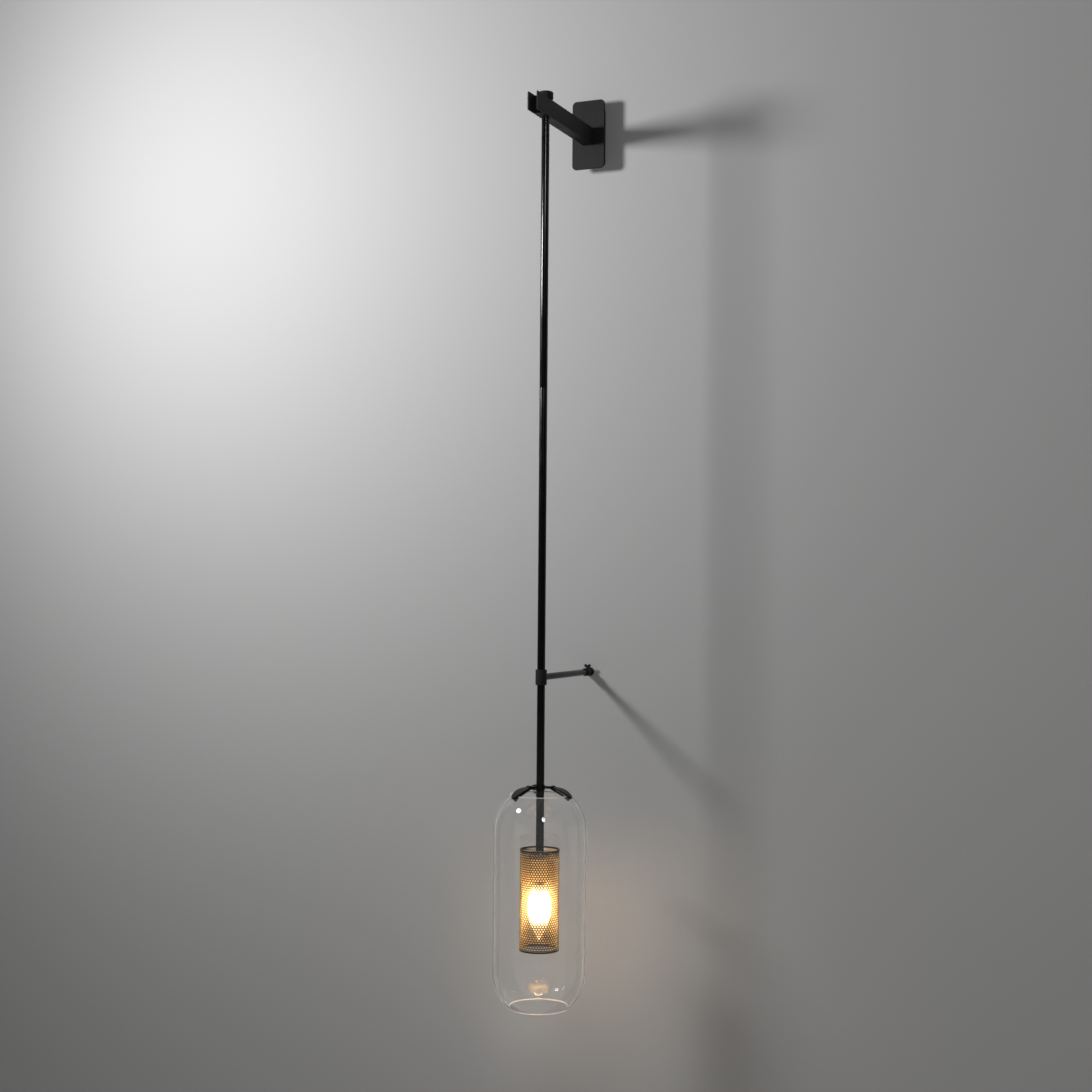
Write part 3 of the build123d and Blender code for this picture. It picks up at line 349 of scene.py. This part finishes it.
# ==== glass shade ================================================================================
# Mouth-blown clear capsule, 2.5 mm thick, with the slightest waviness. Both ends were cracked off
# and their rims lightly ground, so each rim reads as a white line.
def capsule(radius, wall, centre, straight, mouth, steps=28):
    """Closed profile of the capsule's wall, in mm. Outside: part of a quarter circle from the
    mouth, a straight run and the same curve again below. A half circle round each rim leads to the
    inside, which is the same line a wall's thickness further in."""
    half, middle = wall / 2, radius - wall / 2
    start = asin((mouth + half) / middle)
    ball = np.linspace(start, pi / 2, steps)
    down = ball[::-1]
    run = np.linspace(0, -straight, 14)[1:-1]

    def side(r):
        top = np.stack([r * np.sin(ball), centre + r * np.cos(ball)], 1)
        low = np.stack([r * np.sin(down), centre - straight - r * np.cos(down)], 1)
        return np.concatenate([top, np.stack([np.full(len(run), r), centre + run], 1), low])

    bead = np.linspace(0, pi, 9)[1:-1, None]
    lip_low = np.array([middle * sin(start), centre - straight - middle * cos(start)])
    lip_top = np.array([middle * sin(start), centre + middle * cos(start)])
    out_low, out_top = np.array([sin(start), -cos(start)]), np.array([sin(start), cos(start)])
    end_low, end_top = np.array([-cos(start), -sin(start)]), np.array([-cos(start), sin(start)])
    low_bead = lip_low + half * (np.cos(bead) * out_low + np.sin(bead) * end_low)
    top_bead = lip_top + half * (-np.cos(bead) * out_top + np.sin(bead) * end_top)
    return np.concatenate([side(radius), low_bead, side(radius - wall)[::-1], top_bead])


def clear_glass(name, tint, ior, wave, wave_size, middle=0.0, rim=9.0, sheen=0.0):
    """Clear glass that lets light through to what it shades: a transparent surface for shadow rays,
    and otherwise smooth refraction with a slow waviness of a given size in metres. A rim, given by
    its distance up or down from the height middle, is ground: the share of matt white glass rises
    evenly from none to half over 1 mm. With no rim given, the glass is clear all over."""
    material, tree, out, place = new_finish(name)
    height = put(tree, "ShaderNodeSeparateXYZ", {"Vector": place}).outputs["Z"]
    offset = put(tree, "ShaderNodeMath", {0: height, 1: middle}, operation="SUBTRACT")
    reach = put(tree, "ShaderNodeMath", {0: offset.outputs[0]}, operation="ABSOLUTE")
    ground = put(tree, "ShaderNodeMapRange", {"Value": reach.outputs[0], "From Min": rim - 0.0014,
                                              "From Max": rim - 0.0004, "To Min": 0.0,
                                              "To Max": 0.5})
    matt = put(tree, "ShaderNodeBsdfDiffuse", {"Color": linear("#fbfaf6")})
    through = put(tree, "ShaderNodeBsdfTranslucent", {"Color": linear("#fbfaf6")})
    frost = put(tree, "ShaderNodeMixShader", {0: 0.5, 1: matt.outputs["BSDF"],
                                              2: through.outputs["BSDF"]})
    slow = put(tree, "ShaderNodeTexNoise", {"Vector": place, "Scale": 1 / wave_size, "Detail": 1.0})
    bend = put(tree, "ShaderNodeBump", {"Strength": wave, "Distance": 0.001,
                                        "Height": slow.outputs["Fac"]})
    body = put(tree, "ShaderNodeBsdfPrincipled", {"Base Color": linear(tint), "Roughness": 0.0,
                                                  "IOR": ior, "Transmission Weight": 1.0,
                                                  "Normal": bend.outputs["Normal"],
                                                  "Sheen Weight": sheen, "Sheen Roughness": 0.3})
    glass = put(tree, "ShaderNodeMixShader", {0: ground.outputs["Result"], 1: body.outputs["BSDF"],
                                              2: frost.outputs["Shader"]})
    shadow = put(tree, "ShaderNodeBsdfTransparent", {"Color": linear("#f7f8f8")})
    ray = put(tree, "ShaderNodeLightPath", {})
    skin = put(tree, "ShaderNodeMixShader", {0: ray.outputs["Is Shadow Ray"],
                                             1: glass.outputs["Shader"],
                                             2: shadow.outputs["BSDF"]})
    tree.links.new(skin.outputs["Shader"], out.inputs["Surface"])
    return material


GLASS_R, GLASS_WALL, MOUTH_R = 70.0, 2.5, 43.0
DOME_Z, STRAIGHT, GLASS_RIM = -1088.0, 209.0, 158.1
# Blown soda glass: colourless, with lit edges, white rims and reflections that bend a little.
shade_glass = clear_glass("clear_blown_soda_glass", "#ffffff", 1.5, 0.04, 50 * MM,
                          (DOME_Z - STRAIGHT / 2) * MM, GLASS_RIM * MM, 0.8)
spun("shade_blown", capsule(GLASS_R, GLASS_WALL, DOME_Z, STRAIGHT, MOUTH_R), shade_glass, "pendant",
     ("glass_shade",), 160)

# ==== claw holder ================================================================================
# Zinc casting on the rod: a hub, three bars with a finger each under the glass, and three curved
# leaves that fold down over it on riveted pins. Lacquered satin black. Fingers wear rubber tips.

# Lacquered casting: black with a brown cast, and a skin that is rougher than the coated plate's.
black_casting = coated("black_lacquered_zinc_casting", "#0e0d0d", "#181716", 0.36, 0.35, 1.2 * MM,
                       0.1)
# Silicone rubber: black and matt, so that the tips show no highlight through the glass.
silicone = coated("black_silicone_rubber", "#161514", "#1d1c1a", 0.62, 0.08, 0.5 * MM)
softened("claw_spider", 0.4 * MM, black_casting, "pendant")
for n in (1, 2, 3):
    softened(f"claw_leaf_{n}", 0.7 * MM, black_casting, f"leaf_{n}")
dress(silicone, "finger_sleeves")
dress(black_screw, "claw_pins", "hub_screw")

# ==== pierced tube ===============================================================================
# Brass sheet, 0.8 mm, punched with round holes in staggered rows, rolled and brazed; its outside is
# painted dark as shade. Each end is bound by a folded rim of dark bronzed brass, and a strap under
# the rod carries it.
TUBE_R, TUBE_WALL, TUBE_TOP, TUBE_LOW = 29.4, 0.8, -1116.2, -1265.0
# The real holes, about 57 round and 54 high, are too fine to show in the render. These are coarser.
HOLES_ROUND, HOLE_ROWS, HOLE_R = 46, 44, 1.38
CELL = 14


def pierced_sheet():
    """Points and faces of the sheet. It is cut into one cell per hole, odd rows turned by half a
    cell. The CELL points of a cell are six outer ones and the eight corners of its hole, on the
    outside and again on the inside. A point at the angle a lies at the radius times cos a and sin a
    from the rod's axis. Cells share their outer points, so points at one place are made one."""
    half_a, half_z = pi / HOLES_ROUND, (TUBE_TOP - TUBE_LOW) / HOLE_ROWS / 2
    rim_a = np.array([1, 1, 0, -1, -1, 0]) * half_a
    rim_z = np.array([-1, 1, 1, 1, -1, -1]) * half_z
    eight = np.arange(8) * pi / 4
    cell_a = np.concatenate([rim_a, HOLE_R / TUBE_R * np.cos(eight)])
    cell_z = np.concatenate([rim_z, HOLE_R * np.sin(eight)])
    row, column = np.meshgrid(np.arange(HOLE_ROWS), np.arange(HOLES_ROUND), indexing="ij")
    a = (2 * column + row % 2)[..., None] * half_a + cell_a
    z = TUBE_TOP - (2 * row + 1)[..., None] * half_z + cell_z
    points = np.concatenate([np.stack([r * np.cos(a), r * np.sin(a), z], -1).reshape(-1, 3)
                             for r in (TUBE_R, TUBE_R - TUBE_WALL)])
    inside = HOLE_ROWS * HOLES_ROUND * CELL
    threes = np.array([[0, 1, 6], [0, 6, 13], [1, 7, 6], [3, 4, 10], [3, 10, 9], [4, 11, 10]])
    fours = np.array([[1, 2, 8, 7], [2, 3, 9, 8], [4, 5, 12, 11], [5, 0, 13, 12]])
    k = np.arange(8)
    hole = np.stack([6 + k, 6 + (k + 1) % 8, 6 + (k + 1) % 8 + inside, 6 + k + inside], 1)
    top = np.array([[2, 1, 1 + inside, 2 + inside], [3, 2, 2 + inside, 3 + inside]])
    low = np.array([[5, 4, 4 + inside, 5 + inside], [0, 5, 5 + inside, inside]])
    base = np.arange(HOLE_ROWS * HOLES_ROUND)[:, None, None] * CELL
    quads = [base + fours, base + inside + fours[:, ::-1], base + hole,
             base[:HOLES_ROUND] + top, base[-HOLES_ROUND:] + low]
    tris = [base + threes, base + inside + threes[:, ::-1]]
    kept, same = np.unique(np.round(points * 1e4).astype(np.int64), axis=0, return_inverse=True)
    same = same.reshape(-1)
    faces = same[np.concatenate([f.reshape(-1, 4) for f in quads])].tolist()
    faces += same[np.concatenate([f.reshape(-1, 3) for f in tris])].tolist()
    return kept / 1e4 * MM + ROD * MM, faces


def brass_with_painted_shade(name, shaded_outside_tone, inside, rough):
    """Brass sheet with a dark tone outside the tube, which is painted shade, and the pale brass
    tone inside and in the holes. The side is read from the distance to the rod's axis, the length
    of object
    x and y: the tone changes from 0.25 to 0.05 mm under the outer face."""
    material, tree, out, place = new_finish(name)
    flat = put(tree, "ShaderNodeMapping", {"Vector": place, "Location": (0, -ROD[1] * MM, 0),
                                           "Scale": (1, 1, 0)})
    distance = put(tree, "ShaderNodeVectorMath", {0: flat.outputs["Vector"]}, operation="LENGTH")
    side = put(tree, "ShaderNodeMapRange", {"Value": distance.outputs["Value"],
                                            "From Min": (TUBE_R - 0.25) * MM,
                                            "From Max": (TUBE_R - 0.05) * MM,
                                            "To Min": 0.0, "To Max": 1.0})
    # Painted shade: the dark tone goes on the outer face, and the pale brass tone inside and in the
    # holes.
    tone = put(tree, "ShaderNodeMix", {"Factor": side.outputs["Result"], 6: linear(inside),
                                       7: linear(shaded_outside_tone)}, data_type="RGBA")
    body = put(tree, "ShaderNodeBsdfPrincipled", {"Base Color": tone.outputs[2], "Metallic": 1.0,
                                                  "Roughness": rough})
    tree.links.new(body.outputs["BSDF"], out.inputs["Surface"])
    return material


# Brass sheet: dark brown outside as painted shade, and pale inside, where it glows gold by the
# bulb.
tube_brass_painted_shade = brass_with_painted_shade("brass_sheet_painted_shade", "#33210f", "#dcc592", 0.48)
# Bronzed brass rim: brown black with a soft sheen, so that the tube's ends show as two dark lines.
dark_brass = metal("bronzed_brass_rim", "#241a10", "#3a2a18", 0.38, 0.10, 3.0 * MM)
# Nickel plate: pale, warm and nearly a mirror.
nickel = metal("bright_nickel_plate", "#b9b6ae", "#d2cfc8", 0.14, 0.05, 3.0 * MM)
points, faces = pierced_sheet()
into_scene("pierced_tube", points, faces, tube_brass_painted_shade, "pendant", ("mesh_tube",), 30)
RIM_R, RIM_BORE, RIM_DEPTH, RIM_FOLD = 29.9, 28.1, 2.4, 0.6
GROOVE_R, GROOVE_BORE = 29.43, 28.57
TOP_RIM, BOTTOM_RIM = -1115.6, -1265.6
for name, end, inward in (("top", TOP_RIM, -1), ("bottom", BOTTOM_RIM, 1)):
    opening, fold = end + RIM_DEPTH * inward, end + RIM_FOLD * inward
    section = [(RIM_R, end), (RIM_R, opening), (GROOVE_R, opening), (GROOVE_R, fold),
               (GROOVE_BORE, fold), (GROOVE_BORE, opening), (RIM_BORE, opening), (RIM_BORE, end)]
    spun(f"tube_{name}_rim", outline(section, [0.5, 0.15, 0.1, 0.1, 0.1, 0.1, 0.15, 0.5], 4),
         dark_brass, "pendant", (f"tube_{name}_ring",), 120)
dress(nickel, "tube_bridge")

# ==== lampholder =================================================================================
# Spun brass cup, nickel plated and polished, over a cream glazed ceramic lampholder with a brass
# screw shell and a bent brass contact in its ceiling. A nipple and a nut clamp it under the rod.

# Glazed ceramic: warm cream and glossy under a clear coat, and bright beside the bulb.
ceramic = coated("cream_glazed_ceramic", "#ead6a8", "#f2e2ba", 0.16, 0.05, 4.0 * MM, 0.5, 1.5)
CUP_HOLE, CUP_R, CUP_WALL, CUP_TOP, CUP_LOW = 4.5, 16.0, 1.0, -1119.5, -1129.5
cup = [(CUP_HOLE, CUP_TOP), (CUP_R, CUP_TOP), (CUP_R, CUP_LOW), (CUP_R - CUP_WALL, CUP_LOW),
       (CUP_R - CUP_WALL, CUP_TOP - CUP_WALL), (CUP_HOLE, CUP_TOP - CUP_WALL)]
spun("cup_spun", outline(cup, [0.2, 1.6, 0.3, 0.3, 0.9, 0.2]), nickel, "pendant",
     ("holder_cup",))
dress(ceramic, "holder_body")
dress(bare_brass, "holder_shell", "centre_contact")
dress(zinc, "lamp_nipple", "nipple_nut")


# ==== bulb =======================================================================================
# Candle bulb on a nickel-plated screw cap: thin blown glass with a glowing lining, a glass stem and
# four filaments. They are so bright that the whole bulb shows as one warm white flame.
def glow(name, colour, strength, middle, reach):
    """A surface that gives off light of one colour, strongest at the height middle and fading up
    and down as a bell curve: strength times e to the power of minus the square of the distance over
    reach, both in metres."""
    material, tree, out, place = new_finish(name)
    height = put(tree, "ShaderNodeSeparateXYZ", {"Vector": place}).outputs["Z"]
    away = put(tree, "ShaderNodeMath", {0: height, 1: 1 / reach, 2: -middle / reach},
               operation="MULTIPLY_ADD")
    square = put(tree, "ShaderNodeMath", {0: away.outputs[0], 1: away.outputs[0]},
                 operation="MULTIPLY")
    bell = put(tree, "ShaderNodeMath", {0: exp(-1.0), 1: square.outputs[0]}, operation="POWER")
    power = put(tree, "ShaderNodeMath", {0: bell.outputs[0], 1: strength}, operation="MULTIPLY")
    lit = put(tree, "ShaderNodeBsdfPrincipled", {"Base Color": linear(colour), "Roughness": 0.4,
                                                 "Emission Color": linear(colour),
                                                 "Emission Strength": power.outputs[0]})
    tree.links.new(lit.outputs["BSDF"], out.inputs["Surface"])
    return material


BULB_R, BULB_WALL, NECK_R = 17.5, 0.7, 8.2
NECK_TOP, NECK_LOW, WIDEST_Z, TIP_Z = -1165.7, -1168.9, -1200.1, -1250.1
GLOW_Z = -1200.0


def candle(inset):
    """Half outline of the bulb, in mm, from the neck to the tip, drawn in by inset. The neck is
    straight. Over the way s from 0 to 1 down to the widest place, the radius swells with the sine
    of s quarter turns to the power 1.15. Over the way t on to the tip, it is the widest radius
    times one less t to the power 1.9, which is taken to the power 0.86."""
    s = np.linspace(0, 1, 16)
    upper = np.stack([NECK_R + (BULB_R - NECK_R) * np.sin(s * pi / 2) ** 1.15,
                      NECK_LOW + (WIDEST_Z - NECK_LOW) * s], 1)
    t = np.linspace(0, 1, 24)[1:]
    lower = np.stack([BULB_R * (1 - t ** 1.9) ** 0.86, WIDEST_Z + (TIP_Z - WIDEST_Z) * t], 1)
    line = np.concatenate([[(NECK_R, NECK_TOP)], upper, lower])
    along = np.gradient(line, axis=0)
    along /= np.linalg.norm(along, axis=1, keepdims=True)
    line = line + inset * np.stack([along[:, 1], -along[:, 0]], 1)
    line[0, 1], line[-1, 0] = NECK_TOP, 0.0
    return line


# Lined bulb glass: warm white and far brighter than all else, fading to gold at the neck and tip.
bulb_lit = glow("phosphor_lit_bulb_glass", "#ffeccb", 48.0, GLOW_Z * MM, 14.5 * MM)
# Drawn glass: thin, clear and faintly warm.
stem_glass = clear_glass("drawn_stem_glass", "#fffdf8", 1.45, 0.0, 50 * MM)
# Glowing filament: golden white along its whole length.
filament = glow("glowing_filament", "#ffdca8", 60.0, GLOW_Z * MM, 30 * MM)
spun("bulb_blown", np.concatenate([candle(0.0), candle(BULB_WALL)[::-1]]), bulb_lit, "bulb",
     ("bulb_glass",), 72)
dress(nickel, "bulb_cap")
dress(stem_glass, "bulb_stem")
dress(filament, "bulb_filaments")

# ==== room =======================================================================================
# Plain matt grey wall behind, open to the eye from its back, and a plain floor far below. The wall
# stands 0.3 mm behind the light's own back, so that the two never share a plane. In metres.
WALL_Y, FLOOR_Z, CEILING_Z, HALF_ROOM = 0.0003, -2.2, 3, 6


def room_face(name, corners, colour):
    """A flat stage surface in one matt colour, which is see-through from behind."""
    material, tree, out, _ = new_finish(name)
    matt = put(tree, "ShaderNodeBsdfDiffuse", {"Color": linear(colour)})
    behind = put(tree, "ShaderNodeNewGeometry", {}).outputs["Backfacing"]
    open_way = put(tree, "ShaderNodeBsdfTransparent", {})
    paint = put(tree, "ShaderNodeMixShader", {0: behind, 1: matt.outputs["BSDF"],
                                              2: open_way.outputs["BSDF"]})
    tree.links.new(paint.outputs["Shader"], out.inputs["Surface"])
    mesh = bpy.data.meshes.new(name)
    mesh.from_pydata(corners, [], [[0, 1, 2, 3]])
    mesh.materials.append(material)
    face = bpy.data.objects.new(name, mesh)
    scene.collection.objects.link(face)


room_face("wall", [(-HALF_ROOM, WALL_Y, FLOOR_Z), (HALF_ROOM, WALL_Y, FLOOR_Z),
                   (HALF_ROOM, WALL_Y, CEILING_Z), (-HALF_ROOM, WALL_Y, CEILING_Z)], "#a9a9a9")
room_face("floor", [(-HALF_ROOM, -HALF_ROOM, FLOOR_Z), (HALF_ROOM, -HALF_ROOM, FLOOR_Z),
                    (HALF_ROOM, WALL_Y, FLOOR_Z), (-HALF_ROOM, WALL_Y, FLOOR_Z)], "#b8b8b6")


# ==== studio light ===============================================================================
# One soft lamp near the wall on the left draws the shadows, and one without shadows on the right
# lightens the far wall. A wide one lights the floor, and a small warm one helps the bulb's glow.
def lamp(name, kind, where, aim, power, size, colour):
    """A lamp of the studio, which shines from where it is to aim, both in metres, with a power in
    watts. Its size is the width of an area lamp's disc, or the radius of a point lamp."""
    data = bpy.data.lights.new(name, kind)
    data.energy, data.color = power, linear(colour)[:3]
    if kind == "AREA":
        data.shape, data.size = "DISK", size
    else:
        data.shadow_soft_size = size
    made = bpy.data.objects.new(name, data)
    scene.collection.objects.link(made)
    beam = (Vector(aim) - Vector(where)).to_track_quat("-Z", "Y")
    made.matrix_world = Matrix.Translation(where) @ beam.to_matrix().to_4x4()
    return made


lamp("key", "AREA", (-0.93, -0.95, -0.01), (-0.15, 0, -0.05), 21.0, 0.28, "#ffffff")
fill = lamp("fill", "AREA", (1.6, -2.6, 0.8), (1.7, 0, -0.1), 18.0, 0.6, "#ffffff")
fill.data.use_shadow = False
rod_y = ROD[1] * MM
spill = lamp("bulb_spill", "POINT", (0, rod_y, -1.290), (0, rod_y, -2.2), 0.42, 0.008, "#ffcd98")
spill.visible_transmission = spill.visible_glossy = False
lamp("floor_light", "AREA", (0, -3.4, -1.95), (0, -3.4, -2.2), 230.0, 14.0, "#ffffff")
# The air lights the object faintly. Seen straight or through glass, it is a pale grey backdrop.
world = bpy.data.worlds.new("studio")
world.use_nodes = True
sky = world.node_tree
sky.nodes.clear()
air = put(sky, "ShaderNodeBackground", {"Color": linear("#d8d8d8"), "Strength": 0.08})
backdrop = put(sky, "ShaderNodeBackground", {"Color": linear("#bcbcbc"), "Strength": 1.0})
sight = put(sky, "ShaderNodeLightPath", {})
seen = put(sky, "ShaderNodeMath", {0: sight.outputs["Is Camera Ray"],
                                   1: sight.outputs["Is Transmission Ray"]}, operation="MAXIMUM")
mixed = put(sky, "ShaderNodeMixShader", {0: seen.outputs[0], 1: air.outputs["Background"],
                                         2: backdrop.outputs["Background"]})
put(sky, "ShaderNodeOutputWorld", {"Surface": mixed.outputs["Shader"]})
scene.world = world
scene.view_settings.view_transform = "Standard"
